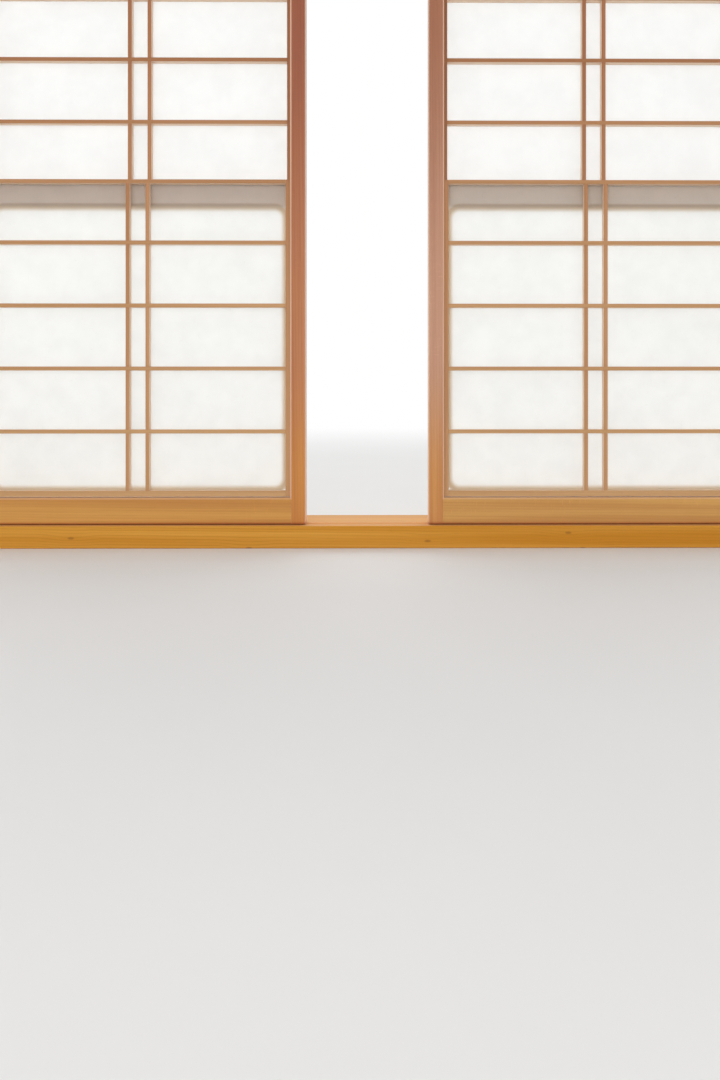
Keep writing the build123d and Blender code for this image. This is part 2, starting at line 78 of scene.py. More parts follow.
class ShaderTree:
    """Builds one material's node tree, a step at a time."""

    def __init__(self, name: str) -> None:
        """Start an empty material.

        Args:
            name: The material's name.
        """
        self.material = bpy.data.materials.new(name)
        self.material.use_nodes = True
        self.tree = self.material.node_tree
        self.tree.nodes.clear()
        self.output = self.node("ShaderNodeOutputMaterial")

    def node(self, kind: str, **settings: object) -> bpy.types.Node:
        """Add a node.

        Args:
            kind: Blender's name for the kind of node.
            settings: Properties of the node, such as its operation.

        Returns:
            The new node.
        """
        made = self.tree.nodes.new(kind)
        for key, value in settings.items():
            setattr(made, key, value)
        return made

    def put(self, socket: Socket, value: object) -> None:
        """Feed a socket from another socket, or set its plain value.

        Args:
            socket: The input to feed.
            value: An output socket, a number or a colour.
        """
        if isinstance(value, Socket):
            self.tree.links.new(value, socket)
        elif socket.type == "RGBA":
            socket.default_value = (*value, 1.0)
        else:
            socket.default_value = value

    def place(self) -> Socket:
        """Give the surface point in the model's own axes."""
        return self.node("ShaderNodeTexCoord").outputs["Object"]

    def parts(self, vector: Socket) -> bpy.types.NodeOutputs:
        """Split a place or a direction.

        Args:
            vector: The place or direction.

        Returns:
            Its parts, by the names X, Y and Z.
        """
        made = self.node("ShaderNodeSeparateXYZ")
        self.put(made.inputs[0], vector)
        return made.outputs

    def length(self, vector: Socket) -> Socket:
        """Measure a vector.

        Args:
            vector: The vector.

        Returns:
            Its length.
        """
        made = self.node("ShaderNodeVectorMath", operation="LENGTH")
        self.put(made.inputs[0], vector)
        return made.outputs["Value"]

    def scaled(self, vector: Socket, scale: Point, shift: Point = (0, 0, 0)) -> Socket:
        """Stretch and move a place.

        Args:
            vector: The place.
            scale: The factor on each axis.
            shift: What is added on each axis after that.

        Returns:
            The new place.
        """
        made = self.node("ShaderNodeMapping")
        self.put(made.inputs["Vector"], vector)
        made.inputs["Scale"].default_value = scale
        made.inputs["Location"].default_value = shift
        return made.outputs["Vector"]

    def noise(self, vector: Socket, detail: float = 2.0, rough: float = 0.5) -> Socket:
        """Give cloudy noise whose features are about one unit wide.

        Args:
            vector: The place, stretched as the noise should be.
            detail: How many finer layers it has.
            rough: How strong those are.

        Returns:
            The noise, from 0 to 1.
        """
        made = self.node("ShaderNodeTexNoise")
        self.put(made.inputs["Vector"], vector)
        made.inputs["Scale"].default_value = 1.0
        made.inputs["Detail"].default_value = detail
        made.inputs["Roughness"].default_value = rough
        return made.outputs["Fac"]

    def math(self, operation: str, first: object, second: object = 0.0, third: object = 0.0) -> Socket:
        """Work out a number.

        Args:
            operation: Blender's name for the operation.
            first: The first number or socket.
            second: The second number or socket.
            third: The third number or socket, where the operation has one.

        Returns:
            The result.
        """
        made = self.node("ShaderNodeMath", operation=operation)
        for socket, value in zip(made.inputs, (first, second, third)):
            self.put(socket, value)
        return made.outputs[0]

    def spread(self, value: Socket, low: float, high: float, to_low: float, to_high: float) -> Socket:
        """Map a range of values smoothly onto another.

        Args:
            value: The value to map.
            low: Where the first range starts.
            high: Where it ends.
            to_low: What the start becomes.
            to_high: What the end becomes.

        Returns:
            The mapped value.
        """
        made = self.node("ShaderNodeMapRange", interpolation_type="SMOOTHSTEP")
        for socket, number in zip(made.inputs, (value, low, high, to_low, to_high)):
            self.put(socket, number)
        return made.outputs[0]

    def blend(self, share: object, first: object, second: object, how: str = "MIX") -> Socket:
        """Mix two colours.

        Args:
            share: How much of the second there is.
            first: The first colour.
            second: The second colour.
            how: Blender's name for the way of mixing.

        Returns:
            The mixed colour.
        """
        made = self.node("ShaderNodeMix", data_type="RGBA", blend_type=how)
        self.put(made.inputs[0], share)
        self.put(made.inputs[6], first)
        self.put(made.inputs[7], second)
        return made.outputs[2]

    def height(self, value: Socket, distance: float, strength: float = 1.0) -> Socket:
        """Turn a value into relief.

        Args:
            value: The height, from 0 to 1.
            distance: How high 1 stands, in metres.
            strength: How much of it shows.

        Returns:
            The normal for a shader.
        """
        made = self.node("ShaderNodeBump")
        made.inputs["Strength"].default_value = strength
        made.inputs["Distance"].default_value = distance
        self.put(made.inputs["Height"], value)
        return made.outputs["Normal"]

    def principled(self, colour: object, roughness: object, **others: object) -> bpy.types.Node:
        """Add the main surface shader.

        Args:
            colour: Its base colour.
            roughness: Its roughness.
            others: Other inputs, by their names with underscores for spaces.

        Returns:
            The shader node.
        """
        made = self.node("ShaderNodeBsdfPrincipled")
        self.put(made.inputs["Base Color"], colour)
        self.put(made.inputs["Roughness"], roughness)
        for name, value in others.items():
            self.put(made.inputs[name.replace("_", " ")], value)
        return made

    def mixed(self, share: object, first: bpy.types.Node, second: bpy.types.Node) -> Socket:
        """Mix two shaders.

        Args:
            share: How much of the second there is.
            first: The first shader's node.
            second: The second shader's node.

        Returns:
            The mixed shader.
        """
        made = self.node("ShaderNodeMixShader")
        self.put(made.inputs[0], share)
        self.put(made.inputs[1], first.outputs[0])
        self.put(made.inputs[2], second.outputs[0])
        return made.outputs[0]

    def finish(self, shader: Socket) -> bpy.types.Material:
        """Connect the last shader and hand the material over."""
        self.tree.links.new(shader, self.output.inputs["Surface"])
        return self.material


def scaled_colour(colour: Colour, factor: float) -> Colour:
    """Make a colour darker or lighter, up to full white.

    Args:
        colour: The colour.
        factor: What each channel is multiplied with.

    Returns:
        The new colour.
    """
    return tuple(min(1.0, channel * factor) for channel in colour)


@dataclass(frozen=True)
class WoodFinish:
    """Planed softwood with fine straight grain, aged to one tone, with painted light and shade laid on top."""

    name: str
    pale: Colour
    deep: Colour
    # Painted light by height: tints multiplied into the colour low down and in the middle, golden low and redder
    # above. Level members get a tint of their own.
    low_painted_light: Colour = WHITE
    middle_painted_light: Colour = WHITE
    level_tint: Colour = WHITE
    painted_light_heights: tuple[float, float, float] = (0.1, 0.36, 1.0)
    cloud_scale: GrainScale = (42.0, 0.9)
    band_scale: GrainScale = (140.0, 1.6)
    band_share: float = 0.35
    fibre_scale: GrainScale = (2200.0, 26.0)
    ring_scale: GrainScale = (1.0, 0.012)
    ring_width: float = 2.6 * MM
    ring_share: float = 0.2
    ring_waver: float = 5.0
    pore_share: float = 0.12
    dark_factor: float = 0.62
    roughness: float = 0.5
    roughness_swing: float = 0.06
    gloss: float = 0.25
    grain_relief: float = 0.06 * MM
    scratches: float = 0.0
    scratch_scale: GrainScale = (55.0, 2300.0)
    scratch_factor: float = 1.9
    knots: float = 0.0
    knot_scale: GrainScale = (11.0, 4.5)
    knot_tone: Colour = (0.3, 0.11, 0.026)
    knot_core: float = 0.014
    knot_edge: float = 0.036
    knot_reach: float = 0.3
    knot_bend: float = 5.0
    # Painted light on the groove's floor, which hides its shade, and painted shade at the foot of a leaf.
    track: tuple[float, float] | None = None
    groove_painted_light: Colour = (0.95, 0.62, 0.36)
    groove_painted_light_share: float = 0.55
    foot_painted_shade_share: float = 0.0
    foot_painted_shade: Colour = (0.68, 0.4, 0.35)
    foot_painted_shade_heights: tuple[float, float] = (42.0 * MM, 47.0 * MM)
    # Painted highlights on the chamfers, and painted light on the faces that face neither front nor back.
    chamfer_highlight: Colour = (0.86, 0.56, 0.40)
    chamfer_highlight_share: float = 0.0
    level_highlight_factor: float = 0.4
    side_painted_light: Colour = (0.93, 0.76, 0.60)
    side_painted_light_share: float = 0.0

    def material(self, grain: Grain) -> bpy.types.Material:
        """Make the wood for members whose grain runs one way.

        Args:
            grain: The direction of the grain.

        Returns:
            The material.
        """
        tree = ShaderTree(f"{self.name}_{grain.name.lower()}")
        place = tree.place()
        from_knot = self.from_knot(tree, place, grain) if self.knots else None
        clouds = tree.noise(grain.stretched(tree, place, self.cloud_scale))
        bands = tree.noise(grain.stretched(tree, place, self.band_scale, 3.1), rough=0.6)
        late = self.late_wood(tree, grain.stretched(tree, place, self.ring_scale), bands, from_knot)
        fibres = tree.noise(grain.stretched(tree, place, self.fibre_scale, 5.3), detail=1.0)
        pores = tree.spread(fibres, 0.32, 0.5, 1.0, 0.0)

        body = tree.blend(tree.spread(clouds, 0.3, 0.7, 0.0, 1.0), self.pale, self.deep)
        body = tree.blend(tree.spread(bands, 0.25, 0.75, 0.0, self.band_share), body, self.deep)
        darker = scaled_colour(self.deep, self.dark_factor)
        body = tree.blend(tree.math("MULTIPLY", late, self.ring_share), body, darker)
        body = tree.blend(tree.math("MULTIPLY", pores, self.pore_share), body, darker)
        if from_knot is not None:
            knot = tree.spread(from_knot, self.knot_core, self.knot_edge, self.knots, 0.0)
            body = tree.blend(knot, body, self.knot_tone)
        if self.scratches:
            body = self.scratched(tree, body, place, grain)
        # Painted light: the colour is multiplied with a tint by height.
        body = tree.blend(1.0, body, self.painted_light_by_height(tree, place, grain), "MULTIPLY")
        # Painted light on the side faces and painted highlights on the chamfers.
        body = self.with_painted_edge_light(tree, body, grain)
        # Painted light in the groove and painted shade at the foot.
        body = self.with_painted_groove_and_foot(tree, body, place)

        swing = self.roughness_swing
        rough = tree.spread(bands, 0.2, 0.8, self.roughness - swing, self.roughness + swing)
        relief = tree.math("MULTIPLY_ADD", late, 0.6, tree.math("MULTIPLY", pores, -0.4))
        normal = tree.height(relief, self.grain_relief, 0.6)
        shader = tree.principled(body, rough, Specular_IOR_Level=self.gloss, Normal=normal)
        return tree.finish(shader.outputs[0])

    def from_knot(self, tree: ShaderTree, place: Socket, grain: Grain) -> Socket:
        """Measure how far the nearest small knot is. The knots run from front to back.

        Args:
            tree: The material's node tree.
            place: The surface point.
            grain: The direction of the grain.

        Returns:
            The distance, in spacings between knots.
        """
        spaced = tree.parts(grain.stretched(tree, place, self.knot_scale, 0.37))
        front = tree.node("ShaderNodeCombineXYZ")
        tree.put(front.inputs["X"], spaced["X"])
        tree.put(front.inputs["Y"], spaced["Z"])
        cells = tree.node("ShaderNodeTexVoronoi", voronoi_dimensions="2D", feature="F1")
        tree.put(cells.inputs["Vector"], front.outputs[0])
        cells.inputs["Scale"].default_value = 1.0
        return cells.outputs["Distance"]

    def late_wood(self, tree: ShaderTree, drawn_out: Socket, bands: Socket, from_knot: Socket | None) -> Socket:
        """Draw the darker late wood of the year rings, which bends round the knots.

        Args:
            tree: The material's node tree.
            drawn_out: The surface point, drawn out along the grain.
            bands: Broad bands in which the rings show more or less.
            from_knot: The distance to the nearest knot, where there are any.

        Returns:
            How much late wood there is, from 0 to 1.
        """
        rings = tree.node("ShaderNodeTexWave", wave_type="BANDS", bands_direction="DIAGONAL", wave_profile="SAW")
        tree.put(rings.inputs["Vector"], drawn_out)
        rings.inputs["Scale"].default_value = math.pi / (10 * self.ring_width)
        rings.inputs["Distortion"].default_value = self.ring_waver
        rings.inputs["Detail"].default_value = 1.5
        rings.inputs["Detail Scale"].default_value = 0.35
        if from_knot is not None:
            tree.put(rings.inputs["Phase Offset"], tree.spread(from_knot, 0.0, self.knot_reach, self.knot_bend, 0.0))
        late = tree.spread(rings.outputs["Fac"], 0.45, 1.0, 0.0, 1.0)
        return tree.math("MULTIPLY", late, tree.spread(bands, 0.3, 0.7, 0.35, 1.0))

    def scratched(self, tree: ShaderTree, body: Socket, place: Socket, grain: Grain) -> Socket:
        """Add small pale scratches across the grain, here and there.

        Args:
            tree: The material's node tree.
            body: The wood's colour so far.
            place: The surface point.
            grain: The direction of the grain.

        Returns:
            The scratched colour.
        """
        patches = tree.noise(tree.scaled(place, (9.0, 9.0, 9.0), (1.7, 4.1, 0.6)), detail=1.0)
        strokes = tree.noise(grain.stretched(tree, place, self.scratch_scale, 2.3), detail=1.0)
        marks = tree.math("MULTIPLY", tree.spread(patches, 0.58, 0.7, 0.0, 1.0),
                          tree.spread(strokes, 0.68, 0.76, 0.0, 1.0))
        lighter = scaled_colour(self.pale, self.scratch_factor)
        return tree.blend(tree.math("MULTIPLY", marks, self.scratches), body, lighter)

    def painted_light_by_height(self, tree: ShaderTree, place: Socket, grain: Grain) -> Socket:
        """Give painted light by height: golden where more light falls low down, redder and darker above.

        Args:
            tree: The material's node tree.
            place: The surface point.
            grain: The direction of the grain, since level members are a little paler.

        Returns:
            The tint to multiply the wood's colour with.
        """
        up = tree.parts(place)["Z"]
        low, middle, high = self.painted_light_heights
        upper = tree.blend(tree.spread(up, middle, high, 0.0, 1.0), self.middle_painted_light, WHITE)
        tint = tree.blend(tree.spread(up, low, middle, 0.0, 1.0), self.low_painted_light, upper)
        return tree.blend(1.0, tint, self.level_tint if grain is Grain.LEVEL else WHITE, "MULTIPLY")

    def with_painted_edge_light(self, tree: ShaderTree, body: Socket, grain: Grain) -> Socket:
        """Paint light on the faces square to the paper and painted highlights on the chamfers, so that they come out
        paler than the fronts.

        Args:
            tree: The material's node tree.
            body: The wood's colour so far.
            grain: The direction of the grain; the chamfers of upright members catch more light.

        Returns:
            The colour with the painted light and highlights.
        """
        facing = tree.parts(tree.node("ShaderNodeNewGeometry").outputs["True Normal"])
        fronting = tree.math("ABSOLUTE", facing["Y"])
        if self.side_painted_light_share:
            side = tree.spread(fronting, 0.1, 0.4, self.side_painted_light_share, 0.0)
            body = tree.blend(side, body, self.side_painted_light)
        if self.chamfer_highlight_share:
            slant = tree.math("ABSOLUTE", tree.math("SUBTRACT", fronting, math.sqrt(0.5)))
            share = self.chamfer_highlight_share * (1.0 if grain is Grain.UPRIGHT else self.level_highlight_factor)
            body = tree.blend(tree.spread(slant, 0.06, 0.16, share, 0.0), body, self.chamfer_highlight)
        return body

    def with_painted_groove_and_foot(self, tree: ShaderTree, body: Socket, place: Socket) -> Socket:
        """Paint light on the floor of the groove that a leaf slides in, which takes away the groove's shade, and
        paint shade on the leaf's foot just above the sill.

        Args:
            tree: The material's node tree.
            body: The wood's colour so far.
            place: The surface point.

        Returns:
            The worn colour.
        """
        parts = tree.parts(place)
        if self.track is not None:
            near, far = self.track
            beyond_near = tree.spread(parts["Y"], near - 0.5 * MM, near, 0.0, 1.0)
            before_far = tree.spread(parts["Y"], far + 0.5 * MM, far + 1.5 * MM, self.groove_painted_light_share, 0.0)
            body = tree.blend(tree.math("MULTIPLY", beyond_near, before_far), body, self.groove_painted_light)
        if self.foot_painted_shade_share:
            foot = tree.spread(parts["Z"], *self.foot_painted_shade_heights, self.foot_painted_shade_share, 0.0)
            body = tree.blend(foot, body, self.foot_painted_shade, "MULTIPLY")
        return body


@dataclass(frozen=True)
class Opening:
    """A round-cornered rectangle in the plane of a screen."""

    low: tuple[float, float]
    high: tuple[float, float]
    corner: float = 22.0 * MM

    def depth_outside(self, tree: ShaderTree, place: Socket) -> Socket:
        """Give how far a point lies outside the rectangle, below zero inside near its edge.

        Args:
            tree: The material's node tree.
            place: The surface point.

        Returns:
            The distance in metres.
        """
        parts = tree.parts(place)
        beyond = tree.node("ShaderNodeCombineXYZ")
        for index, axis in enumerate("XZ"):
            middle = (self.low[index] + self.high[index]) / 2
            reach = (self.high[index] - self.low[index]) / 2 - self.corner
            offset = tree.math("ABSOLUTE", tree.math("SUBTRACT", parts[axis], middle))
            tree.put(beyond.inputs[axis], tree.math("MAXIMUM", tree.math("SUBTRACT", offset, reach), 0.0))
        return tree.math("SUBTRACT", tree.length(beyond.outputs[0]), self.corner)


@dataclass(frozen=True)
class PaperFinish:
    """Thin white paper with soft clouds and a few long fibres, which glows with light behind it."""

    name: str
    colour: Colour = (0.95, 0.885, 0.785)
    light: Colour = (0.955, 0.977, 1.0)
    light_through: float = 0.715
    cloud_factor: float = 0.965
    cloud_light_factor: float = 0.975
    fibre_tone: Colour = (0.97, 0.965, 0.95)
    fibre_share: float = 0.5
    fibre_light: Colour = (0.74, 0.72, 0.68)
    fibre_light_share: float = 0.55
    opening: Opening | None = None
    # Painted shade near the edge of the lit opening, where the leaf's frame behind keeps the light off.
    margin_shade_width: float = 11.0 * MM
    margin_painted_shade: Colour = (0.68, 0.56, 0.42)
    margin_shade_fade: tuple[float, float] = (2.0 * MM, 8.0 * MM)

    def material(self) -> bpy.types.Material:
        """Make the paper, with a painted soft shadow along the edge of its lit opening, where the leaf behind keeps
        the light off.

        Returns:
            The material.
        """
        tree = ShaderTree(self.name)
        place = tree.place()
        clouds = tree.noise(tree.scaled(place, (26.0, 26.0, 26.0)), detail=4.0, rough=0.62)
        dense = tree.spread(clouds, 0.3, 0.7, 0.0, 1.0)
        fibre = self.fibres(tree, place)
        front = tree.blend(dense, scaled_colour(self.colour, self.cloud_factor), self.colour)
        front = tree.blend(tree.math("MULTIPLY", fibre, self.fibre_share), front, self.fibre_tone)
        through = tree.blend(dense, scaled_colour(self.light, self.cloud_light_factor), self.light)
        through = tree.blend(tree.math("MULTIPLY", fibre, self.fibre_light_share), through, self.fibre_light)
        # Painted shade: browner, weaker light comes through near the edge of the opening.
        if self.opening is not None:
            outside = self.opening.depth_outside(tree, place)
            margin = tree.spread(outside, -self.margin_shade_width, 0.0, 0.0, 1.0)
            margin = tree.math("MULTIPLY", margin, tree.spread(outside, *self.margin_shade_fade, 1.0, 0.0))
            through = tree.blend(margin, through, self.margin_painted_shade)
        normal = tree.height(tree.math("MULTIPLY_ADD", fibre, 0.5, clouds), 0.05 * MM, 0.5)
        surface = tree.principled(front, 0.85, Specular_IOR_Level=0.15, Normal=normal)
        glow = tree.node("ShaderNodeBsdfTranslucent")
        tree.put(glow.inputs["Color"], through)
        tree.put(glow.inputs["Normal"], normal)
        return tree.finish(tree.mixed(self.light_through, surface, glow))

    def fibres(self, tree: ShaderTree, place: Socket) -> Socket:
        """Scatter long fibres, some upright and some level.

        Args:
            tree: The material's node tree.
            place: The surface point.

        Returns:
            Where they lie, from 0 to 1.
        """
        upright = tree.noise(tree.scaled(place, (1400.0, 1400.0, 90.0)), detail=1.0)
        level = tree.noise(tree.scaled(place, (110.0, 900.0, 1300.0), (7.0, 0.0, 3.0)), detail=1.0)
        patches = tree.noise(tree.scaled(place, (60.0, 60.0, 60.0), (2.0, 5.0, 1.0)), detail=1.0)
        either = tree.math("MAXIMUM", tree.spread(upright, 0.66, 0.78, 0.0, 1.0),
                           tree.spread(level, 0.67, 0.8, 0.0, 1.0))
        return tree.math("MULTIPLY", either, tree.spread(patches, 0.45, 0.7, 0.0, 1.0))


@dataclass(frozen=True)
class GlassFinish:
    """A clear pane with the faint green of common glass and a little dust."""

    name: str
    tint: Colour = (0.985, 0.993, 0.988)
    dust_factor: float = 0.97
    refraction: float = 1.5

    def material(self) -> bpy.types.Material:
        """Make the glass.

        Returns:
            The material.
        """
        tree = ShaderTree(self.name)
        dust = tree.noise(tree.scaled(tree.place(), (9.0, 9.0, 9.0)), detail=5.0, rough=0.7)
        clear = tree.node("ShaderNodeBsdfTransparent")
        dusty = scaled_colour(self.tint, self.dust_factor)
        tree.put(clear.inputs["Color"], tree.blend(tree.spread(dust, 0.4, 0.75, 0.0, 1.0), self.tint, dusty))
        shine = tree.node("ShaderNodeBsdfGlossy")
        tree.put(shine.inputs["Roughness"], tree.spread(dust, 0.4, 0.75, 0.02, 0.07))
        # On a back face the Fresnel node inverts the index. The clear shader doesn't bend the light,
        # so the index is inverted once more, or the pane would look like a mirror at a slant.
        fresnel = tree.node("ShaderNodeFresnel")
        leaving = tree.node("ShaderNodeNewGeometry").outputs["Backfacing"]
        turned = tree.math("MULTIPLY_ADD", leaving, -2.0, 1.0)
        tree.put(fresnel.inputs["IOR"], tree.math("POWER", self.refraction, turned))
        return tree.finish(tree.mixed(fresnel.outputs[0], clear, shine))


@dataclass(frozen=True)
class SteelFinish:
    """Plain spring strip, rolled along its length, with a slight tarnish."""

    name: str
    colour: Colour = (0.56, 0.55, 0.53)
    tarnish: Colour = (0.4032, 0.363, 0.318)
    tarnish_share: float = 0.7

    def material(self) -> bpy.types.Material:
        """Make the steel.

        Returns:
            The material.
        """
        tree = ShaderTree(self.name)
        place = tree.place()
        lines = tree.noise(tree.scaled(place, (4000.0, 4000.0, 60.0)), detail=1.0)
        stain = tree.noise(tree.scaled(place, (70.0, 70.0, 40.0)), detail=3.0)
        body = tree.blend(tree.spread(stain, 0.5, 0.75, 0.0, self.tarnish_share), self.colour, self.tarnish)
        rough = tree.spread(lines, 0.2, 0.8, 0.28, 0.42)
        shader = tree.principled(body, rough, Metallic=1.0, Normal=tree.height(lines, 0.01 * MM, 0.5))
        return tree.finish(shader.outputs[0])


@dataclass(frozen=True)
class Arris:
    """The softened edge that a plane and years of use leave on a member."""

    width: float
    steps: int = 2
    weld_distance: float = 0.01 * MM
    flat_angle: float = math.radians(1)
    edge_angle: float = math.radians(30)

    def soften(self, node: bpy.types.Object) -> None:
        """Round the node's sharp edges a little without touching its mesh.

        Args:
            node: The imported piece.
        """
        weld = node.modifiers.new("join_faces", "WELD")
        weld.merge_threshold = self.weld_distance
        flat = node.modifiers.new("merge_flat_faces", "DECIMATE")
        flat.decimate_type = "DISSOLVE"
        flat.angle_limit = self.flat_angle
        bevel = node.modifiers.new("arris", "BEVEL")
        bevel.width = self.width
        bevel.segments = self.steps
        bevel.limit_method = "ANGLE"
        bevel.angle_limit = self.edge_angle
        bevel.use_clamp_overlap = True
        bevel.harden_normals = True


def dress(node_name: str, material: bpy.types.Material, arris: Arris | None = None) -> None:
    """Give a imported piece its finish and, for timber, its soft edges.

    Args:
        node_name: The piece's name in the model.
        material: Its finish.
        arris: The softening of its edges, if it has any.
    """
    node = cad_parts[node_name]
    node.data.materials.clear()
    node.data.materials.append(material)
    if arris is not None:
        arris.soften(node)


@dataclass(frozen=True)
class Timber:
    """One finish in both grain directions."""

    finish: WoodFinish
    made: dict[Grain, bpy.types.Material] = field(default_factory=dict)

    def along(self, grain: Grain) -> bpy.types.Material:
        """Give the finish with the grain running one way, made once.

        Args:
            grain: The direction of the grain.

        Returns:
            The material.
        """
        if grain not in self.made:
            self.made[grain] = self.finish.material(grain)
        return self.made[grain]


@dataclass
class OuterFrame:
    """The sill, head and posts that stand still."""

    sill_wood: Timber
    post_wood: Timber
    arris: Arris = Arris(0.7 * MM, 3)

    def build(self) -> None:
        """Dress the four members of the frame."""
        dress("sill", self.sill_wood.along(Grain.LEVEL), self.arris)
        dress("head", self.post_wood.along(Grain.LEVEL), self.arris)
        for side in Side:
            dress(f"{side.value}_post", self.post_wood.along(Grain.UPRIGHT), self.arris)


@dataclass
class Leaf:
    """One sliding leaf with its upper lattice, its pane and its paper."""

    side: Side
    frame_wood: Timber
    lattice_wood: Timber
    paper: bpy.types.Material
    glass: bpy.types.Material
    frame_arris: Arris = Arris(0.6 * MM)
    lattice_arris: Arris = Arris(0.35 * MM)
    upper_bars: int = 4

    def name(self, part: str) -> str:
        """Give a part's node name on this leaf."""
        return f"{self.side.value}_{part}"

    def build(self) -> None:
        """Dress every piece of the leaf."""
        upright = self.frame_wood.along(Grain.UPRIGHT)
        level = self.frame_wood.along(Grain.LEVEL)
        for part in ("meeting_stile", "outer_stile"):
            dress(self.name(part), upright, self.frame_arris)
        for part in ("top_rail", "middle_rail", "bottom_rail"):
            dress(self.name(part), level, self.frame_arris)
        thin_upright = self.lattice_wood.along(Grain.UPRIGHT)
        thin_level = self.lattice_wood.along(Grain.LEVEL)
        for part in ("upright_edge_strips", "upper_upright_bars", "upright_glazing_beads"):
            dress(self.name(part), thin_upright, self.lattice_arris)
        bars = [f"upper_cross_bar_{number}" for number in range(1, self.upper_bars + 1)]
        for part in ("level_edge_strips", "level_glazing_beads", *bars):
            dress(self.name(part), thin_level, self.lattice_arris)
        dress(self.name("upper_paper"), self.paper)
        dress(self.name("glass"), self.glass)


@dataclass
class SmallScreen:
    """The small lattice screen that lifts in one leaf."""

    side: Side
    wood: Timber
    steel: bpy.types.Material
    arris: Arris = Arris(0.35 * MM)
    bars: int = 4

    def name(self, part: str) -> str:
        """Give a part's node name on this screen."""
        return f"{self.side.value}_screen_{part}"

    def build(self) -> None:
        """Dress every piece of the small screen."""
        for part in ("meeting_stile", "outer_stile", "upright_bars"):
            dress(self.name(part), self.wood.along(Grain.UPRIGHT), self.arris)
        bars = [f"cross_bar_{number}" for number in range(1, self.bars + 1)]
        for part in ("top_rail", "bottom_rail", *bars):
            dress(self.name(part), self.wood.along(Grain.LEVEL), self.arris)
        finish = PaperFinish(f"{self.side.value}_screen_paper", opening=self.lit_opening())
        dress(self.name("paper"), finish.material())
        dress(self.name("springs"), self.steel)

    def lit_opening(self) -> Opening:
        """Find the part of the paper that the light reaches, below the leaf's middle rail.

        Returns:
            The opening, between the screen's stiles and above its bottom rail.
        """
        stiles = (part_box(self.name(part)) for part in ("meeting_stile", "outer_stile"))
        left, right = sorted(stiles, key=lambda box: box[0].x)
        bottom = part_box(self.name("bottom_rail"))[1].z
        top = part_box(f"{self.side.value}_middle_rail")[0].z
        return Opening((left[1].x, bottom), (right[0].x, top))


def background_rays(tree: bpy.types.NodeTree) -> Socket:
    """Pick out the rays that show the white background: the camera's, and those by way of metal or glass.

    Light that comes through the paper counts as transmitted too, but it is spread and is left out.

    Args:
        tree: The node tree of the world or the floor.

    Returns:
        1 for such a ray and 0 for any other.
    """
    path = tree.nodes.new("ShaderNodeLightPath").outputs
    chosen = path["Is Camera Ray"]
    steps = (("MAXIMUM", "Is Glossy Ray"), ("MAXIMUM", "Is Transmission Ray"), ("SUBTRACT", "Is Diffuse Ray"))
    for operation, kind in steps:
        made = tree.nodes.new("ShaderNodeMath")
        made.operation = operation
        made.use_clamp = True
        tree.links.new(chosen, made.inputs[0])
        tree.links.new(path[kind], made.inputs[1])
        chosen = made.outputs[0]
    return chosen


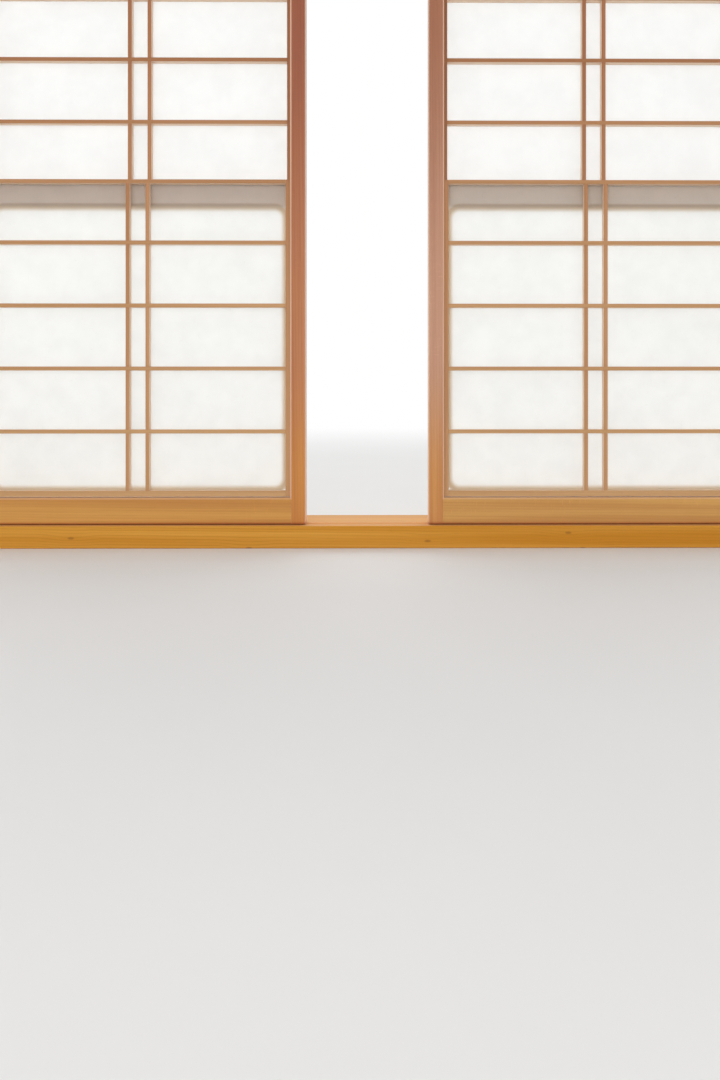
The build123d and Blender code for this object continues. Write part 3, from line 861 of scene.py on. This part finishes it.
@dataclass
class Studio:
    """A plain pale floor, soft light from both sides and the camera."""

    camera_place: Point = (7.4 * MM, -1552.0 * MM, 291.7 * MM)
    camera_turn: float = 0.0071
    focal_pixels: float = 827.7
    centre_pixel: tuple[float, float] = (377.1, 386.0)
    picture: tuple[int, int] = (720, 1080)
    sensor_width: float = 36.0
    clip_range: tuple[float, float] = (0.01, 100.0)
    floor_reach: float = 30.0
    floor_tones: tuple[Colour, Colour] = ((0.79, 0.79, 0.785), (0.82, 0.82, 0.815))
    floor_fade: tuple[float, float] = (1.6, 4.5)
    room_light: float = 0.7
    outer_light: float = 2.3
    light_turn: tuple[float, float] = (0.2, 0.95)
    lamp_place: Point = (-0.5, -3.4, 1.15)
    lamp_target: Point = (0.0, 0.0, 0.35)
    lamp_size: tuple[float, float] = (3.4, 1.2)
    lamp_power: float = 30.0

    def build(self) -> None:
        """Set up the floor, the light and the camera."""
        self.add_world()
        self.add_floor()
        self.add_lamp()
        self.add_camera()

    def add_world(self) -> None:
        """Make the surroundings a white background that lights the room side weakly and the outer side strongly."""
        world = bpy.data.worlds.new("surroundings")
        world.use_nodes = True
        nodes, links = world.node_tree.nodes, world.node_tree.links
        nodes.clear()
        direction = nodes.new("ShaderNodeSeparateXYZ")
        links.new(nodes.new("ShaderNodeTexCoord").outputs["Generated"], direction.inputs[0])
        light = nodes.new("ShaderNodeMapRange")
        light.interpolation_type = "SMOOTHSTEP"
        names = ("From Min", "From Max", "To Min", "To Max")
        for name, value in zip(names, (*self.light_turn, self.room_light, self.outer_light)):
            light.inputs[name].default_value = value
        links.new(direction.outputs["Y"], light.inputs["Value"])
        strength = nodes.new("ShaderNodeMix")
        links.new(background_rays(world.node_tree), strength.inputs[0])
        links.new(light.outputs[0], strength.inputs[2])
        strength.inputs[3].default_value = 1.0
        background = nodes.new("ShaderNodeBackground")
        background.inputs["Color"].default_value = (*WHITE, 1.0)
        links.new(strength.outputs[0], background.inputs["Strength"])
        output = nodes.new("ShaderNodeOutputWorld")
        links.new(background.outputs[0], output.inputs["Surface"])
        bpy.context.scene.world = world

    def add_floor(self) -> None:
        """Lay the pale floor, which fades into the white of the surroundings far away."""
        reach = self.floor_reach
        mesh = bpy.data.meshes.new("floor")
        corners = [(-reach, -reach, 0.0), (reach, -reach, 0.0), (reach, reach, 0.0), (-reach, reach, 0.0)]
        mesh.from_pydata(corners, [], [(0, 1, 2, 3)])
        floor = bpy.data.objects.new("floor", mesh)
        bpy.context.scene.collection.objects.link(floor)
        tree = ShaderTree("pale_floor")
        place = tree.place()
        clouds = tree.noise(tree.scaled(place, (3.0, 3.0, 3.0)), detail=3.0)
        colour = tree.blend(clouds, *self.floor_tones)
        surface = tree.principled(colour, 0.7, Specular_IOR_Level=0.1)
        white = tree.node("ShaderNodeEmission")
        white.inputs["Color"].default_value = (*WHITE, 1.0)
        away = tree.spread(tree.length(place), *self.floor_fade, 0.0, 1.0)
        seen = background_rays(tree.tree)
        mesh.materials.append(tree.finish(tree.mixed(tree.math("MULTIPLY", away, seen), surface, white)))

    def add_lamp(self) -> None:
        """Hang one large soft lamp on the room side. The camera doesn't see it."""
        light = bpy.data.lights.new("room_fill", "AREA")
        light.shape = "RECTANGLE"
        light.size, light.size_y = self.lamp_size
        light.energy = self.lamp_power
        lamp = bpy.data.objects.new("room_fill", light)
        lamp.location = self.lamp_place
        aim = Vector(self.lamp_target) - Vector(self.lamp_place)
        lamp.rotation_euler = aim.to_track_quat("-Z", "Y").to_euler()
        lamp.visible_camera = False
        bpy.context.scene.collection.objects.link(lamp)

    def add_camera(self) -> None:
        """Stand the camera where the photograph was taken from."""
        width, height = self.picture
        data = bpy.data.cameras.new("camera")
        data.sensor_width = self.sensor_width
        data.lens = self.focal_pixels / height * data.sensor_width
        data.shift_x = (width / 2 - self.centre_pixel[0]) / height
        data.shift_y = (self.centre_pixel[1] - height / 2) / height
        data.clip_start, data.clip_end = self.clip_range
        camera = bpy.data.objects.new("camera", data)
        camera.location = self.camera_place
        camera.rotation_euler = Euler((math.pi / 2, 0.0, -self.camera_turn))
        bpy.context.scene.collection.objects.link(camera)
        bpy.context.scene.camera = camera


# Painted light by height on the posts, the leaves and the bars; painted light on the side faces of the sill, the
# leaves and the bars, and painted highlights on the leaves' and bars' chamfers; painted light on the sill's groove
# floor and painted shade at the leaves' feet.
SILL_WOOD = WoodFinish(
    "sill_wood", pale=(0.75, 0.375, 0.066), deep=(0.60, 0.25, 0.026), roughness=0.62, gloss=0.06, ring_share=0.36,
    knots=0.6, track=(-46.0 * MM, -25.0 * MM), side_painted_light=(0.84, 0.5, 0.26), side_painted_light_share=0.45)
POST_WOOD = WoodFinish(
    "post_wood", pale=(0.50, 0.225, 0.085), deep=(0.42, 0.165, 0.055), low_painted_light=(1.15, 1.2, 0.8),
    middle_painted_light=(1.12, 1.15, 1.0))
LEFT_LEAF_WOOD = WoodFinish(
    "left_leaf_wood", pale=(0.37, 0.125, 0.063), deep=(0.28, 0.078, 0.04), low_painted_light=(1.76, 2.2, 1.05),
    middle_painted_light=(1.47, 1.78, 1.52), level_tint=(1.07, 1.3, 1.3), scratches=0.3, foot_painted_shade_share=0.8,
    chamfer_highlight_share=0.75, side_painted_light_share=0.5)
# The right leaf is the same wood as the left; its paler, pinker colour and bluer middle are a painted sheen of
# reflected light.
RIGHT_LEAF_WOOD = WoodFinish(
    "right_leaf_wood", pale=(0.42, 0.183, 0.1), deep=(0.335, 0.124, 0.067), low_painted_light=(1.66, 1.86, 1.08),
    middle_painted_light=(1.55, 2.1, 2.5), level_tint=(1.0, 1.14, 1.05), scratches=0.3, foot_painted_shade_share=0.8,
    chamfer_highlight_share=0.75, side_painted_light_share=0.5)
LATTICE_WOOD = WoodFinish(
    "lattice_wood", pale=(0.42, 0.178, 0.08), deep=(0.34, 0.131, 0.054), low_painted_light=(1.46, 1.92, 2.05),
    middle_painted_light=(1.34, 1.66, 1.72), level_tint=(1.07, 1.16, 1.15), chamfer_highlight_share=0.4, side_painted_light_share=0.7)
# The leaves and the screens hold the same paper. The screens' paper lets more light through: painted light that
# makes up for what the glass behind it holds back.
LEAF_PAPER = PaperFinish("leaf_paper", colour=(0.95, 0.91, 0.855), light=(0.955, 0.98, 1.0), light_through=0.61)


def main() -> None:
    """Build the finishes and dress the object from the frame inward."""
    logging.basicConfig(level=logging.INFO, format="%(message)s")
    bpy.context.scene.view_settings.view_transform = "Standard"
    sill_wood, post_wood = Timber(SILL_WOOD), Timber(POST_WOOD)
    leaf_wood = {Side.LEFT: Timber(LEFT_LEAF_WOOD), Side.RIGHT: Timber(RIGHT_LEAF_WOOD)}
    lattice_wood = Timber(LATTICE_WOOD)
    leaf_paper = LEAF_PAPER.material()
    glass = GlassFinish("pane_glass").material()
    steel = SteelFinish("spring_steel").material()
    OuterFrame(sill_wood, post_wood).build()
    LOG.info("dressed the outer frame")
    for side in Side:
        Leaf(side, leaf_wood[side], lattice_wood, leaf_paper, glass).build()
        LOG.info("dressed the %s leaf", side.value)
        SmallScreen(side, lattice_wood, steel).build()
        LOG.info("dressed the %s leaf's small screen", side.value)
    Studio().build()
    LOG.info("set up the studio")


if __name__ == "__main__":
    main()
